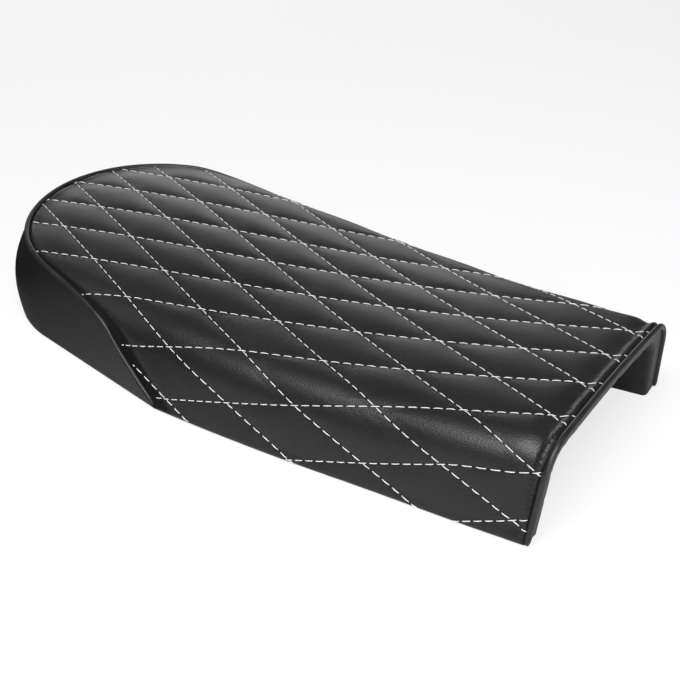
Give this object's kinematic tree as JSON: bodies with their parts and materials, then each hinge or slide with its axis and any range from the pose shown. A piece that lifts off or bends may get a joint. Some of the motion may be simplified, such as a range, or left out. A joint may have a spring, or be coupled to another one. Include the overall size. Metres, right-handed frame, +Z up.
{
  "type": "motorcycle flat seat",
  "caption": "Flat motorcycle seat with a diamond-quilted cover, a plain rounded tail band, piped welts, an arched open front and mounting studs under its pan.",
  "frame": {"origin": "middle of the seat's length and width, on the surface that its lower rim rests on", "axes": "+X to the arched front, +Y to the rider's left, +Z up through the cover"},
  "size_m": [0.5399, 0.265, 0.0881],
  "materials": {
    "pan": "moulded, fine grain",
    "foam": "moulded polyurethane foam",
    "quilted_cover": "grained leatherette, diamond quilted with pale thread",
    "plain_band": "grained leatherette, plain",
    "welt": "smooth leatherette piping",
    "zinc_steel": "bright zinc plated",
    "buffer_rubber": "matte"
  },
  "bodies": {
    "root": {"base_pan": "pan", "foam_pad": "foam", "top_cover": "quilted_cover", "rear_band": "plain_band", "front_band": "plain_band", "front_welt": "welt", "rear_welt": "welt", "mounting_studs": "zinc_steel", "rubber_buffer_front_left": "buffer_rubber", "rubber_buffer_front_right": "buffer_rubber", "rubber_buffer_rear_left": "buffer_rubber", "rubber_buffer_rear_right": "buffer_rubber"}
  },
  "joints": []
}
